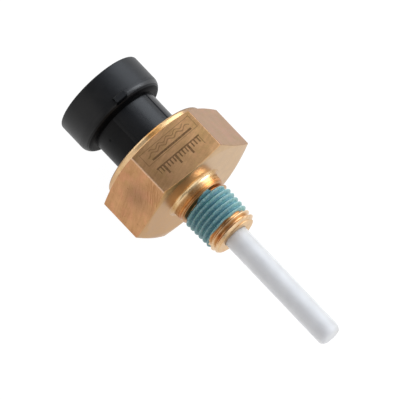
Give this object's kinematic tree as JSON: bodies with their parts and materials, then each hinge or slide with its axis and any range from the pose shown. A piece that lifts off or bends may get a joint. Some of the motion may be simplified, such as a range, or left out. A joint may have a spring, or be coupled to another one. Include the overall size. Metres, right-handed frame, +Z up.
{
  "type": "liquid level switch",
  "caption": "Solid-state liquid level switch with a keyed plug-in connector, brass hex body, tapered pipe thread with dried sealant, and a slim closed-end sensing probe.",
  "frame": {"origin": "centre of the lower wrench flat, which the switch lies on; the switch's axis is 15.875 mm above it", "axes": "+X along the switch's axis from the connector to the probe tip, +Z up from the lower flat to the upper flat, +Y towards a corner of the hexagon"},
  "size_m": [0.0849, 0.0366, 0.0318],
  "materials": {
    "brass_body": "turned and drawn brass, satin, fine tool marks",
    "black_plastic": "satin moulded glass-filled plastic",
    "white_plastic": "smooth semi-gloss white plastic",
    "sealant_film": "dried blue-green thread sealant, matte, mottled",
    "seal_rubber": "black moulded rubber",
    "tinned_blade": "tin-plated, satin",
    "board_laminate": "green solder mask",
    "chip_black": "moulded black epoxy",
    "ceramic_tan": "fired ceramic, satin",
    "spring_steel": "bright stainless steel",
    "potting_black": "cast epoxy, satin"
  },
  "bodies": {
    "root": {"hex_body": "brass_body", "connector_housing": "black_plastic", "housing_seal": "seal_rubber", "terminal_1": "tinned_blade", "terminal_2": "tinned_blade", "terminal_3": "tinned_blade", "circuit_board": "board_laminate", "ic_chip": "chip_black", "transistor": "chip_black", "filter_capacitor": "ceramic_tan", "timing_capacitor": "ceramic_tan", "resistor_1": "chip_black", "resistor_2": "chip_black", "protection_diode": "chip_black", "contact_spring": "spring_steel", "electrode_rod": "spring_steel", "probe_sheath": "white_plastic", "probe_seal": "seal_rubber", "probe_clamp_ring": "spring_steel", "ground_ring": "brass_body", "potting_compound": "potting_black", "thread_sealant": "sealant_film"}
  },
  "joints": []
}
